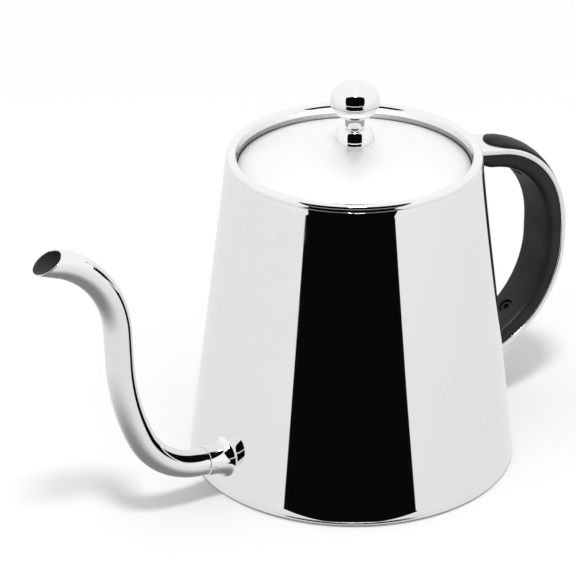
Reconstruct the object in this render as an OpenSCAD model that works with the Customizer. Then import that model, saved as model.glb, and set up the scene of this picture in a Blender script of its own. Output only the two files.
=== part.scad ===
// Gooseneck kettle: a conical steel body, a swan-neck spout low on the wall, a strap handle
// with black grips, and a domed lid that lifts out of a recess in the rim.
// The origin is the centre of the flat base, on the surface that the kettle stands on.
// The spout points along -X, the handle along +X and the lid lifts along +Z.

/* [Body] */
// Radius of the body at the surface that it stands on
base_r = 62; // [52:0.5:74]
// Radius of the body at the top of the rim
rim_r = 47.2; // [40:0.2:56]
// Height from the surface to the top of the rim
body_h = 124; // [104:1:149]
// Thickness of the steel sheet that the body and the lid are pressed from
sheet = 0.8; // [0.6:0.1:1.2]
// Height of the seam between the base and the wall
seam_z = 2; // [1.6:0.1:3]
// Radius of the rounded bottom edge
edge_round = 1.2; // [0.8:0.1:1.5]
// Thickness of the base
base_t = 1.2; // [1:0.1:1.5]
// Distance from the bottom edge to the pressed groove under the base
groove_inset = 7; // [5:0.5:12]
// Width of the groove
groove_w = 3; // [2:0.5:6]
// Depth of the groove
groove_d = 0.5; // [0.3:0.1:0.6]

/* [Rim] */
// Radius of the rounded top edges
rim_round = 1.5; // [1.2:0.1:1.7]
// Height of the rim ring's outer wall, from the seam to the top
ring_h = 2.4; // [2:0.1:4]
// Width of the rim, from its outer edge to the lid's recess
rim_w = 3.6; // [3.5:0.1:5]
// Width of the ledge that the lid sits on
ledge_w = 3; // [2.4:0.1:4]
// Height of the lip that is turned down from the ledge
lip_h = 4; // [2:0.5:8]

/* [Lid] */
// Depth of the lid's edge below the top of the rim
lid_recess = 5.4; // [4:0.1:8]
// Height of the lid's turned-down edge
lid_edge_h = 1.6; // [1.2:0.1:2.5]
// Rise of the lid's dome above its edge
dome_rise = 8.8; // [6:0.2:12]
// Gap between the lid's edge and its recess
lid_gap = 0.4; // [0.3:0.1:0.8]
// Gap under the lid's edge
seat_gap = 0.3; // [0.2:0.1:0.5]
// Gap between the lid's sleeve and the lip
skirt_gap = 0.6; // [0.4:0.1:1]
// Depth of the sleeve below the ledge
skirt_h = 9; // [6:0.5:14]
// Width of the steam notch in the sleeve
notch_w = 9; // [5:0.5:14]
// Height of the steam notch
notch_h = 5; // [3:0.5:6]

/* [Knob] */
// Radius of the knob's ball across its middle
ball_r = 9.1; // [7.5:0.1:11]
// Half of the ball's height
ball_half_h = 7.3; // [6:0.1:9]
// Radius of the bell-shaped foot at the lid
foot_r = 7.6; // [5.5:0.1:8.5]
// Height of the bell
foot_h = 7.2; // [5:0.2:9]
// Radius of the neck between the foot and the ball
neck_r = 3.6; // [3.1:0.1:4.5]
// Length of the neck
neck_h = 3.2; // [2:0.2:5]
// Radius of the knob screw
knob_screw_r = 2; // [1.5:0.25:2.5]
// Length of the knob screw inside the ball
screw_in_ball = 8; // [5:0.5:10]
// Gap round every screw
screw_gap = 0.1; // [0.05:0.05:0.2]
// Radius of the screw's head
screw_head_r = 3.6; // [3:0.1:4.5]
// Height of the screw's head
screw_head_h = 2.2; // [1.6:0.1:3]
// Radius of the washer
washer_r = 5.5; // [4.6:0.1:7]
// Thickness of the washer
washer_t = 1; // [0.6:0.1:1.5]

/* [Spout] */
// Outer radius of the tube
spout_r = 5.2; // [4.4:0.1:6.2]
// Wall of the tube
spout_wall = 0.8; // [0.6:0.1:1.2]
// Height where the tube's centre line meets the wall
spout_z = 15; // [14:0.5:20]
// Straight length from the wall to the first bend
spout_leg = 10.5; // [10:0.5:16]
// Radius of the first bend
first_bend_r = 33; // [26:1:40]
// Slope of the tube after the first bend
first_slope = 64.8; // [60:0.2:70]
// Slope of the riser
riser_slope = 87.8; // [84:0.2:89]
// Length of the straight riser
riser = 12; // [8:0.5:16]
// Radius of the top bend
top_bend_r = 39; // [30:1:46]
// Slope of the tube at its mouth
mouth_slope = 22.8; // [15:0.2:30]
// Straight length at the mouth
mouth_leg = 4.8; // [4:0.2:8]
// Height of the mouth's centre below the top of the rim
mouth_drop = 6.5; // [2:0.5:12]
// Slope of the line that the mouth faces along
mouth_facing = 60; // [45:1:70]
// Radius of the collar where it meets the wall
collar_r = 7.8; // [6.9:0.1:9]
// Length of the collar along the tube
collar_l = 9; // [6:0.5:9.5]
// Thickness of the collar's thin end
collar_t = 0.4; // [0.3:0.1:0.6]
// Gap filled by the braze round the tube
braze_gap = 0.05; // [0.02:0.01:0.1]

/* [Handle] */
// Height of the handle's top joint below the top of the rim
handle_drop = 10.8; // [10:0.2:16]
// Height of the handle's bottom joint
handle_low = 22.2; // [16:0.2:26]
// Reach of the strap from its top joint
handle_reach = 47.5; // [44:0.5:56]
// Slope of the strap where it leaves the top joint
top_slope = 12; // [5:1:20]
// Slope of the strap where it comes back to the bottom joint
low_slope = 22.8; // [15:0.2:30]
// Straight length at the middle of the handle
grip_straight = 6.5; // [2:0.5:16]
// Width of the strap
strap_w = 18; // [15:0.5:21]
// Thickness of the strap
strap_t = 2.2; // [1.6:0.1:3]
// Width of the plates that join the strap to the wall
plate_w = 22; // [20:0.5:26]
// Height of those plates
plate_h = 16; // [12:0.5:18]
// Thickness of those plates
plate_t = 1.2; // [0.8:0.1:1.6]
// Radius of the plates' corners
plate_round = 4; // [2:0.5:6]

/* [Grips] */
// Width of the inner grip
inner_w = 17; // [14:0.5:21]
// Thickness of the inner grip
inner_t = 6; // [5:0.2:7]
// Thickness of the inner grip at its thin ends
inner_end_t = 3; // [2:0.2:4]
// Length of its thinned ends
inner_thin_l = 11; // [8:0.5:16]
// Gap between the inner grip and the plates
inner_gap = 1.5; // [0.5:0.1:4]
// Width of the outer grip
outer_w = 13.5; // [11:0.5:16]
// Thickness of the outer grip
outer_t = 2.6; // [2:0.1:4]
// Gap between the outer grip and the wall at the top
outer_gap = 14; // [5:0.5:18]
// Gap between the outer grip and the wall at the bottom
outer_low_gap = 7; // [5:0.5:12]
// Radius of the grip screws
grip_screw_r = 1.5; // [1:0.25:2]
// Radius of the heads of the grip screws
grip_head_r = 2.8; // [2.4:0.1:3.4]
// Height of those heads
grip_head_h = 1.8; // [1.2:0.1:2.4]
// Depth of the heads below the face of the inner grip
grip_head_sunk = 0.6; // [0.2:0.1:1.2]
// Length of the grip screws inside the outer grip
screw_in_outer = 1.4; // [0.8:0.1:1.6]
// Angle of the upper grip screw round the upper bend
upper_screw_angle = 48; // [35:1:60]
// Angle of the lower grip screw round the lower bend
lower_screw_angle = -54; // [-58:1:-30]

/* [Hidden] */
$fn = 96;

STEEL = [0.80, 0.81, 0.83];
DARK_STEEL = [0.62, 0.63, 0.65];
BLACK = [0.07, 0.07, 0.08];
CUT = 0.5;        // how far a cutting solid runs past the face that it cuts
ROUND_STEPS = 8;  // points along a rounded edge
BEND_STEPS = 12;  // steps round a bend of the spout or the handle
SIDES = 24;       // sides of the spout's tube

// Body: the wall leans inwards by this angle
wall_lean = atan((base_r - rim_r) / body_h);
sheet_x = sheet / cos(wall_lean);
ring_seam_z = body_h - ring_h;

// Lid
recess_r = rim_r - rim_w;
lip_r = recess_r - ledge_w;
lid_r = recess_r - lid_gap;
lid_edge_z = body_h - lid_recess;
lid_bottom_z = lid_edge_z - lid_edge_h;
ledge_z = lid_bottom_z - seat_gap;
skirt_r = lip_r - skirt_gap;
dome_r = (lid_r * lid_r + dome_rise * dome_rise) / (2 * dome_rise);
dome_centre_z = lid_edge_z + dome_rise - dome_r;
dome_top_z = lid_edge_z + dome_rise;

// Knob
neck_z = dome_top_z + foot_h;
ball_flat_z = neck_z + neck_h;
// The ball is cut flat where the neck meets it
ball_cut = ball_half_h * sqrt(1 - pow(neck_r / ball_r, 2));
ball_z = ball_flat_z + ball_cut;
// The washer's edge touches the underside of the dome
washer_top_z = dome_centre_z + sqrt(pow(dome_r - sheet, 2) - washer_r * washer_r);
screw_hole_r = knob_screw_r + screw_gap;

// Spout: the second bend is as large as it takes to bring the mouth to its height
leg_slope = wall_lean;
root_r = wall_r(spout_z);
rise_without_sweep = spout_leg * sin(leg_slope)
  + first_bend_r * (cos(leg_slope) - cos(first_slope))
  + riser * sin(riser_slope)
  + top_bend_r * (cos(mouth_slope) - cos(riser_slope))
  + mouth_leg * sin(mouth_slope);
sweep_rise = body_h - mouth_drop - spout_z - rise_without_sweep;
sweep_bend_r = sweep_rise / (cos(first_slope) - cos(riser_slope));
ROOT_RUN = 3;     // how far the tube starts inside the wall before it is trimmed flush
MOUTH_RUN = 8;    // how far the tube runs on before the mouth is cut

// Handle: one bend radius fits both joints and the reach
top_z = body_h - handle_drop;
top_r = wall_r(top_z);
low_r = wall_r(handle_low);
reach_r = top_r + handle_reach;
bend_r = (top_z - handle_low - grip_straight - handle_reach * tan(top_slope)
  - (reach_r - low_r) * tan(low_slope))
  / ((1 - sin(top_slope)) / cos(top_slope) + (1 - sin(low_slope)) / cos(low_slope));
top_leg = (handle_reach - bend_r * (1 - sin(top_slope))) / cos(top_slope);
low_leg = (reach_r - low_r - bend_r * (1 - sin(low_slope))) / cos(low_slope);
bend_x = reach_r - bend_r;
upper_bend_z = top_z - top_leg * sin(top_slope) - bend_r * cos(top_slope);
lower_bend_z = upper_bend_z - grip_straight;

// Outer radius of the body's wall at a height
function wall_r(z) = base_r - (base_r - rim_r) * z / body_h;

// Points along an arc, from one angle to another
function arc(x, z, r, from, to) =
  [for (i = [0:ROUND_STEPS]) let (a = from + (to - from) * i / ROUND_STEPS)
    [x + r * cos(a), z + r * sin(a)]];

// A solid cone as wide as the wall plus an offset square to it
module wall_cone(offset_out) {
  offset_x = offset_out / cos(wall_lean);
  cylinder(h = body_h, r1 = base_r + offset_x, r2 = rim_r + offset_x);
}

// A straight rod along +X
module run(length, r) {
  rotate([0, 90, 0])
    cylinder(h = length, r = r);
}

// ---- Body ----

module body_shell() {
  color(STEEL)
    difference() {
      rotate_extrude()
        polygon([
          [wall_r(seam_z), seam_z],
          [wall_r(ring_seam_z), ring_seam_z],
          [wall_r(ring_seam_z) - sheet_x, ring_seam_z],
          [wall_r(seam_z) - sheet_x, seam_z]
        ]);
      at_spout_root()
        translate([-ROOT_RUN, 0, 0])
          run(2 * ROOT_RUN, spout_r + braze_gap);
    }
}

// A shallow dish: its turned-up edge meets the wall end to end at the seam
module base_pan() {
  round_x = wall_r(edge_round) - edge_round / cos(wall_lean);
  groove_out = base_r - groove_inset;
  color(DARK_STEEL)
    difference() {
      rotate_extrude()
        polygon(concat(
          [[0, 0]],
          arc(round_x, edge_round, edge_round, -90, wall_lean),
          [
            [wall_r(seam_z), seam_z],
            [wall_r(seam_z) - sheet_x, seam_z],
            [wall_r(base_t) - sheet_x, base_t],
            [0, base_t]
          ]
        ));
      translate([0, 0, -CUT])
        linear_extrude(groove_d + CUT)
          difference() {
            circle(groove_out);
            circle(groove_out - groove_w);
          }
    }
}

module rim_ring() {
  out_z = body_h - rim_round;
  out_x = wall_r(out_z) - rim_round / cos(wall_lean);
  in_x = recess_r + rim_round;
  inside_round = rim_round - sheet;
  color(STEEL)
    rotate_extrude()
      polygon(concat(
        [[wall_r(ring_seam_z), ring_seam_z]],
        arc(out_x, out_z, rim_round, wall_lean, 90),
        arc(in_x, out_z, rim_round, 90, 180),
        [
          [recess_r, ledge_z],
          [lip_r, ledge_z],
          [lip_r, ledge_z - lip_h],
          [lip_r + sheet, ledge_z - lip_h],
          [lip_r + sheet, ledge_z - sheet],
          [recess_r + sheet, ledge_z - sheet]
        ],
        arc(in_x, out_z, inside_round, 180, 90),
        arc(out_x, out_z, inside_round, 90, wall_lean),
        [[wall_r(ring_seam_z) - sheet_x, ring_seam_z]]
      ));
}

// ---- Spout ----

// Puts a child, drawn along +X from the origin, on the wall where the spout leaves it
module at_spout_root() {
  rotate([0, 0, 180])
    translate([root_r, 0, spout_z])
      rotate([0, -leg_slope, 0])
        children();
}

// A step along the centre line: its end, as [distance from the axis, height, slope]
function after_run(at, length) =
  [at[0] + length * cos(at[2]), at[1] + length * sin(at[2]), at[2]];

// The stations of a bend from a station to a new slope; a negative radius bends downwards
function bend(at, r, slope) =
  [for (i = [1:BEND_STEPS]) let (a = at[2] + (slope - at[2]) * i / BEND_STEPS)
    [at[0] + r * (sin(a) - sin(at[2])), at[1] - r * (cos(a) - cos(at[2])), a]];

// Centre line of the spout, from just inside the wall to past the mouth
wall_station = [root_r, spout_z, leg_slope];
leg_end = after_run(wall_station, spout_leg);
first_bend = bend(leg_end, first_bend_r, first_slope);
sweep_bend = bend(first_bend[BEND_STEPS - 1], sweep_bend_r, riser_slope);
riser_end = after_run(sweep_bend[BEND_STEPS - 1], riser);
top_bend = bend(riser_end, -top_bend_r, mouth_slope);
mouth = after_run(top_bend[BEND_STEPS - 1], mouth_leg);
spout_line = concat(
  [after_run(wall_station, -ROOT_RUN), leg_end],
  first_bend, sweep_bend, [riser_end], top_bend,
  [after_run(mouth, MOUTH_RUN)]
);

// A rod of one radius along the whole centre line
module spout_rod(r) {
  rings = len(spout_line);
  points = [for (s = spout_line) for (k = [0:SIDES - 1]) let (a = 360 * k / SIDES)
    [-s[0] + r * cos(a) * sin(s[2]), r * sin(a), s[1] + r * cos(a) * cos(s[2])]];
  sides = [for (i = [0:rings - 2]) for (k = [0:SIDES - 1]) let (n = (k + 1) % SIDES)
    [(i + 1) * SIDES + k, (i + 1) * SIDES + n, i * SIDES + n, i * SIDES + k]];
  root_end = [for (k = [0:SIDES - 1]) k];
  mouth_end = [for (k = [0:SIDES - 1]) rings * SIDES - 1 - k];
  polyhedron(points, concat(sides, [root_end, mouth_end]), convexity = 6);
}

module spout_tube() {
  mouth_cut = 6 * spout_r;
  color(STEEL)
    difference() {
      spout_rod(spout_r);
      spout_rod(spout_r - spout_wall);
      translate([-mouth[0], 0, mouth[1]])
        rotate([0, mouth_facing - 90, 0])
          translate([-mouth_cut / 2, -mouth_cut / 2, 0])
            cube(mouth_cut);
      wall_cone(-sheet);
    }
}

module spout_collar() {
  thin_r = spout_r + braze_gap + collar_t;
  color(STEEL)
    difference() {
      at_spout_root()
        rotate([0, 90, 0])
          rotate_extrude()
            polygon(concat(
              [[spout_r + braze_gap, -CUT], [collar_r, -CUT]],
              [for (i = [0:ROUND_STEPS]) let (a = 90 * i / ROUND_STEPS)
                [thin_r + (collar_r - thin_r) * (1 - sin(a)), collar_l * (1 - cos(a))]],
              [[spout_r + braze_gap, collar_l]]
            ));
      wall_cone(0);
    }
}

// ---- Handle ----

// The strap's middle line seen from the side, as stations [x, z, angle of the outward side].
// The legs' lengths are counted from the bends towards the wall.
function strap_line(top_length, low_length) =
  let (
    top_a = 90 - top_slope,
    low_a = low_slope - 90,
    upper = [for (i = [0:BEND_STEPS]) on_arc(upper_bend_z, top_a * (1 - i / BEND_STEPS))],
    lower = [for (i = [0:BEND_STEPS]) on_arc(lower_bend_z, low_a * i / BEND_STEPS)],
    leg_top = upper[0],
    leg_low = lower[BEND_STEPS]
  )
  concat(
    [[leg_top[0] - top_length * sin(top_a), leg_top[1] + top_length * cos(top_a), top_a]],
    upper,
    lower,
    [[leg_low[0] + low_length * sin(low_a), leg_low[1] - low_length * cos(low_a), low_a]]
  );

function on_arc(centre_z, a) = [bend_x + bend_r * cos(a), centre_z + bend_r * sin(a), a];

// The side view of a layer of the handle, between two distances out from the middle line
module handle_layer(inside, outside, top_length, low_length) {
  line = strap_line(top_length, low_length);
  last = len(line) - 1;
  polygon(concat(
    [for (s = line) [s[0] + outside * cos(s[2]), s[1] + outside * sin(s[2])]],
    [for (i = [0:last]) let (s = line[last - i])
      [s[0] + inside * cos(s[2]), s[1] + inside * sin(s[2])]]
  ));
}

// Gives a side view its width across the handle
module across_handle(width) {
  translate([0, width / 2, 0])
    rotate([90, 0, 0])
      linear_extrude(width)
        children();
}

// Puts a child on the strap's middle line at an angle round the upper bend, or round the
// lower one when the angle is negative, with the child's +X pointing outwards
module on_bend(angle) {
  translate([bend_x, 0, angle > 0 ? upper_bend_z : lower_bend_z])
    rotate([0, -angle, 0])
      translate([bend_r, 0, 0])
        children();
}

// A rectangle with round corners, centred
module rounded_rectangle(w, h, r) {
  square([w - 2 * r, h], center = true);
  square([w, h - 2 * r], center = true);
  for (x = [-1, 1])
    for (y = [-1, 1])
      translate([x * (w / 2 - r), y * (h / 2 - r)])
        circle(r);
}

// A plate that lies on the wall, centred at a height
module wall_plate(z) {
  color(STEEL)
    intersection() {
      difference() {
        wall_cone(plate_t);
        wall_cone(0);
      }
      translate([0, 0, z])
        rotate([90, 0, 90])
          linear_extrude(base_r + 2 * plate_t)
            rounded_rectangle(plate_w, plate_h, plate_round);
    }
}

module upper_plate() {
  wall_plate(top_z);
}

module lower_plate() {
  wall_plate(handle_low);
}

module handle_strap() {
  color(STEEL)
    difference() {
      across_handle(strap_w)
        handle_layer(-strap_t / 2, strap_t / 2, top_leg, low_leg);
      wall_cone(plate_t);
      for (angle = [upper_screw_angle, lower_screw_angle])
        on_bend(angle)
          translate([-strap_t, 0, 0])
            run(2 * strap_t, grip_screw_r + screw_gap);
    }
}

module inner_grip() {
  face = strap_t / 2 + inner_t;
  thin_slope = atan((inner_t - inner_end_t) / inner_thin_l);
  cutter = 2 * inner_w;
  color(BLACK)
    difference() {
      across_handle(inner_w)
        difference() {
          handle_layer(-face, -strap_t / 2, top_leg, low_leg);
          // the two ends thin down towards the wall
          for (end = [[upper_bend_z, 1, 90 - top_slope, top_leg],
                      [lower_bend_z, -1, low_slope - 90, low_leg]])
            translate([bend_x, end[0]])
              rotate(end[2])
                translate([bend_r - face, end[1] * (end[3] - inner_gap - inner_thin_l)])
                  rotate(-end[1] * thin_slope)
                    translate([-cutter, end[1] > 0 ? 0 : -cutter])
                      square(cutter);
        }
      wall_cone(plate_t + inner_gap);
      for (angle = [upper_screw_angle, lower_screw_angle])
        on_bend(angle)
          translate([-face - CUT, 0, 0]) {
            run(face + CUT, grip_screw_r + screw_gap);
            run(CUT + grip_head_sunk + grip_head_h, grip_head_r + screw_gap);
          }
    }
}

module outer_grip() {
  color(BLACK)
    difference() {
      across_handle(outer_w)
        handle_layer(strap_t / 2, strap_t / 2 + outer_t, top_leg, low_leg);
      wall_cone(outer_low_gap);
      // the top end stops further out
      intersection() {
        wall_cone(outer_gap);
        translate([0, -outer_w, (upper_bend_z + lower_bend_z) / 2])
          cube([reach_r, 2 * outer_w, body_h]);
      }
      for (angle = [upper_screw_angle, lower_screw_angle])
        on_bend(angle)
          run(strap_t / 2 + screw_in_outer + 2 * screw_gap, grip_screw_r + screw_gap);
    }
}

module grip_screws() {
  color(DARK_STEEL)
    for (angle = [upper_screw_angle, lower_screw_angle])
      on_bend(angle)
        translate([-strap_t / 2 - inner_t + grip_head_sunk, 0, 0]) {
          run(grip_head_h, grip_head_r);
          run(inner_t - grip_head_sunk + strap_t + screw_in_outer, grip_screw_r);
        }
}

// ---- Lid ----

module lid_cap() {
  color(STEEL)
    difference() {
      rotate_extrude() {
        intersection() {
          translate([0, dome_centre_z])
            difference() {
              circle(dome_r);
              circle(dome_r - sheet);
            }
          translate([0, lid_edge_z - sheet])
            square([lid_r, dome_rise + 2 * sheet]);
        }
        translate([lid_r - sheet, lid_bottom_z])
          square([sheet, lid_edge_h]);
      }
      translate([0, 0, lid_edge_z])
        cylinder(h = 2 * dome_rise, r = screw_hole_r);
    }
}

module lid_skirt() {
  skirt_bottom_z = ledge_z - skirt_h;
  color(STEEL)
    difference() {
      rotate_extrude()
        intersection() {
          translate([skirt_r - sheet, skirt_bottom_z])
            square([sheet, dome_top_z - skirt_bottom_z]);
          translate([0, dome_centre_z])
            circle(dome_r - sheet);
        }
      translate([-skirt_r - CUT, -notch_w / 2, skirt_bottom_z - CUT])
        cube([2 * CUT + 2 * sheet, notch_w, notch_h + CUT]);
    }
}

module knob_foot() {
  color(STEEL)
    difference() {
      rotate_extrude()
        polygon(concat(
          [[0, lid_edge_z], [foot_r, lid_edge_z]],
          [for (i = [0:ROUND_STEPS]) let (a = 90 * i / ROUND_STEPS)
            [neck_r + (foot_r - neck_r) * cos(a), dome_top_z + foot_h * sin(a)]],
          [[neck_r, ball_flat_z], [0, ball_flat_z]]
        ));
      translate([0, 0, dome_centre_z])
        sphere(dome_r);
      translate([0, 0, lid_edge_z])
        cylinder(h = ball_flat_z, r = screw_hole_r);
    }
}

module knob_ball() {
  start = asin(ball_cut / ball_half_h);
  steps = 4 * ROUND_STEPS;
  color(STEEL)
    difference() {
      rotate_extrude()
        polygon(concat(
          [[0, ball_flat_z]],
          [for (i = [0:steps]) let (a = -start + (90 + start) * i / steps)
            [ball_r * cos(a), ball_z + ball_half_h * sin(a)]]
        ));
      translate([0, 0, ball_flat_z - CUT])
        cylinder(h = CUT + screw_in_ball + 2 * screw_gap, r = screw_hole_r);
    }
}

module knob_washer() {
  color(DARK_STEEL)
    translate([0, 0, washer_top_z - washer_t])
      difference() {
        cylinder(h = washer_t, r = washer_r);
        translate([0, 0, -CUT])
          cylinder(h = washer_t + 2 * CUT, r = screw_hole_r);
      }
}

module knob_screw() {
  head_z = washer_top_z - washer_t - screw_head_h;
  color(DARK_STEEL)
    translate([0, 0, head_z]) {
      cylinder(h = screw_head_h, r = screw_head_r);
      cylinder(h = ball_flat_z + screw_in_ball - head_z, r = knob_screw_r);
    }
}

body_shell();
base_pan();
rim_ring();
spout_collar();
spout_tube();
upper_plate();
lower_plate();
handle_strap();
inner_grip();
outer_grip();
grip_screws();
lid_cap();
lid_skirt();
knob_foot();
knob_ball();
knob_screw();
knob_washer();
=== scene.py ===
"""Looks of a gooseneck kettle: mirror-polished steel, a swan-neck spout and black grips.

Lengths are in metres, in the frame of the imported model: +Z up from the middle of the flat base, the
spout along -X and the handle along +X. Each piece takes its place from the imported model's boxes, and
rides on its body, so that the kettle looks right with the lid down or lifted.
"""

from __future__ import annotations

import logging
import math
from collections.abc import Callable, Sequence
from dataclasses import dataclass, field
from enum import Enum

import bmesh
import bpy
from mathutils import Matrix, Vector


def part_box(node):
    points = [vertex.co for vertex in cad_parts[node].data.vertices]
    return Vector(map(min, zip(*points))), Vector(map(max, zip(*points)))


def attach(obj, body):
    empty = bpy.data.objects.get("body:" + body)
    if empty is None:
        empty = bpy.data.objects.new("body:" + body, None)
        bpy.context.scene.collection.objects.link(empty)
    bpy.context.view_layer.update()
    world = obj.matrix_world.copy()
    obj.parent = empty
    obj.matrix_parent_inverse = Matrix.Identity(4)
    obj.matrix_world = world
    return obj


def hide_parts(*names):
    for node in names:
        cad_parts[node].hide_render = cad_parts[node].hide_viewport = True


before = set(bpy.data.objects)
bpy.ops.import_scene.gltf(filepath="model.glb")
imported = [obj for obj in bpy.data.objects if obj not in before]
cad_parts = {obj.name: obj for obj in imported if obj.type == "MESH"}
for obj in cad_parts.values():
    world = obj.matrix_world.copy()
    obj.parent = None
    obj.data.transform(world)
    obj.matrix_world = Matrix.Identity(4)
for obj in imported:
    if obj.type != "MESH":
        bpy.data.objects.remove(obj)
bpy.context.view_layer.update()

log = logging.getLogger("kettle")

MM = 0.001
LATHE_SIDES = 288
SHARP_EDGE = math.radians(38)
WELD = 1e-7
SINK = 0.05 * MM  # how far a piece that lies on the wall goes into it, so that no light shows

Colour = tuple[float, float, float]


class Rider(Enum):
    """The bodies that pieces ride on."""

    KETTLE = "kettle"
    LID = "lid"


class Slot(Enum):
    """The record's slots for finishes."""

    POLISHED = "polished_steel"
    BASE = "base_steel"
    STRAP = "strap_steel"
    GRIP = "grip_black"
    SCREW = "screw_steel"
    SCREW_BLACK = "screw_black"


class Ends(Enum):
    """What closes the first and the last ring of a skin."""

    JOINED = "joined to each other"
    CAPPED = "capped"
    POINTS = "drawn to points"


# ---- Outlines ----


@dataclass(frozen=True)
class Corner:
    """A corner of an outline, and the radius that it is rounded to."""

    x: float
    y: float
    radius: float = 0.0

    @property
    def place(self) -> Vector:
        """The corner as a vector."""
        return Vector((self.x, self.y))


def arc(centre: Vector, spoke: Vector, turn: float, steps: int) -> list[Vector]:
    """Draws an arc.

    Args:
        centre: Centre of the arc.
        spoke: From the centre to the arc's first point.
        turn: Angle of the arc in radians, counter-clockwise.
        steps: Number of steps along it.

    Returns:
        The arc's points, both ends included.
    """
    points = []
    for i in range(steps + 1):
        cosine, sine = math.cos(turn * i / steps), math.sin(turn * i / steps)
        turned = (spoke.x * cosine - spoke.y * sine, spoke.x * sine + spoke.y * cosine)
        points.append(centre + Vector(turned))
    return points


def outline(corners: Sequence[Corner], steps: int = 6) -> list[Vector]:
    """Rounds the corners of a closed outline.

    Args:
        corners: The corners, in order.
        steps: Steps along each rounded corner.

    Returns:
        The points of the rounded outline.
    """
    points: list[Vector] = []
    for before, corner, after in zip([corners[-1], *corners], corners, [*corners[1:], corners[0]]):
        here = corner.place
        if corner.radius == 0:
            points.append(here)
            continue
        back, ahead = before.place - here, after.place - here
        half = back.angle(ahead) / 2
        reach = min(corner.radius / math.tan(half), 0.7 * back.length, 0.7 * ahead.length)
        middle = back.normalized() + ahead.normalized()
        centre = here + middle.normalized() * reach / math.cos(half)
        first = here + back.normalized() * reach - centre
        last = here + ahead.normalized() * reach - centre
        turn = math.atan2(first.x * last.y - first.y * last.x, first.dot(last))
        points += arc(centre, first, turn, steps)
    return points


def divided(points: Sequence[Vector], longest: float) -> list[Vector]:
    """Adds points so that no edge of a closed outline is longer than a length."""
    finer: list[Vector] = []
    for here, following in zip(points, [*points[1:], points[0]]):
        count = max(1, math.ceil((following - here).length / longest))
        finer += [here.lerp(following, i / count) for i in range(count)]
    return finer


# ---- Meshes ----


def smooth(piece: bpy.types.Object) -> None:
    """Shades a piece smooth, apart from its sharp edges."""
    piece.data.shade_smooth()
    piece.data.set_sharp_from_angle(angle=SHARP_EDGE)


def skin(name: str, rings: Sequence[Sequence[Vector]], ends: Ends) -> bpy.types.Object:
    """Stretches one surface over rings that have the same number of points.

    Args:
        name: Name of the piece.
        rings: Closed loops of points, in order.
        ends: What closes the first and the last ring.

    Returns:
        The new piece.
    """
    made = bmesh.new()
    loops = [[made.verts.new(point) for point in ring] for ring in rings]
    following = loops[1:] + (loops[:1] if ends is Ends.JOINED else [])
    for near, far in zip(loops, following):
        for i in range(len(near)):
            j = (i + 1) % len(near)
            made.faces.new((near[i], near[j], far[j], far[i]))
    if ends is Ends.CAPPED:
        made.faces.new(loops[0])
        made.faces.new(loops[-1])
    bmesh.ops.remove_doubles(made, verts=made.verts, dist=WELD)
    loose = [edge for edge in made.edges if edge.is_wire]
    bmesh.ops.delete(made, geom=loose, context="EDGES")
    bmesh.ops.recalc_face_normals(made, faces=made.faces)
    if made.calc_volume(signed=True) < 0:
        bmesh.ops.reverse_faces(made, faces=made.faces)
    mesh = bpy.data.meshes.new(name)
    made.to_mesh(mesh)
    made.free()
    piece = bpy.data.objects.new(name, mesh)
    bpy.context.scene.collection.objects.link(piece)
    smooth(piece)
    return piece


def lathe(name: str, profile: Sequence[Vector], at: Matrix | None = None) -> bpy.types.Object:
    """Turns a closed profile about an axis.

    Args:
        name: Name of the piece.
        profile: Points of distance from the axis and height along it.
        at: Where the axis stands, if it isn't the kettle's own.

    Returns:
        The new piece.
    """
    rings = []
    for i in range(LATHE_SIDES):
        turn = math.tau * i / LATHE_SIDES
        ring = [Vector((p.x * math.cos(turn), p.x * math.sin(turn), p.y)) for p in profile]
        rings.append([at @ point for point in ring] if at else ring)
    return skin(name, rings, Ends.JOINED)


def rod(start: Vector, axis: Vector, length: float, radius: float, sides: int) -> bpy.types.Object:
    """Makes a straight rod, to cut with.

    Args:
        start: Middle of its first end.
        axis: Its direction.
        length: Its length.
        radius: Its radius, to the corners.
        sides: Number of its sides.

    Returns:
        The rod.
    """
    turn = axis.to_track_quat("Z", "Y").to_matrix()
    rings = []
    for along in (0.0, length):
        angles = [math.tau * i / sides for i in range(sides)]
        spokes = [Vector((math.cos(a) * radius, math.sin(a) * radius, along)) for a in angles]
        rings.append([start + turn @ spoke for spoke in spokes])
    return skin("cutter", rings, Ends.CAPPED)


def cut(piece: bpy.types.Object, cutter: bpy.types.Object) -> None:
    """Takes a cutter's shape out of a piece, and throws the cutter away."""
    change = piece.modifiers.new("cut", "BOOLEAN")
    change.operation = "DIFFERENCE"
    change.solver = "EXACT"
    change.object = cutter
    seen = bpy.context.evaluated_depsgraph_get()
    mesh = bpy.data.meshes.new_from_object(piece.evaluated_get(seen))
    piece.modifiers.clear()
    piece.data = mesh
    bpy.data.objects.remove(cutter)
    smooth(piece)


def joined(name: str, pieces: Sequence[bpy.types.Object]) -> bpy.types.Object:
    """Makes one piece of several, and throws the several away."""
    made = bmesh.new()
    for piece in pieces:
        made.from_mesh(piece.data)
        bpy.data.objects.remove(piece)
    mesh = bpy.data.meshes.new(name)
    made.to_mesh(mesh)
    made.free()
    whole = bpy.data.objects.new(name, mesh)
    bpy.context.scene.collection.objects.link(whole)
    smooth(whole)
    return whole


# ---- Shader maths ----


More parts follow.
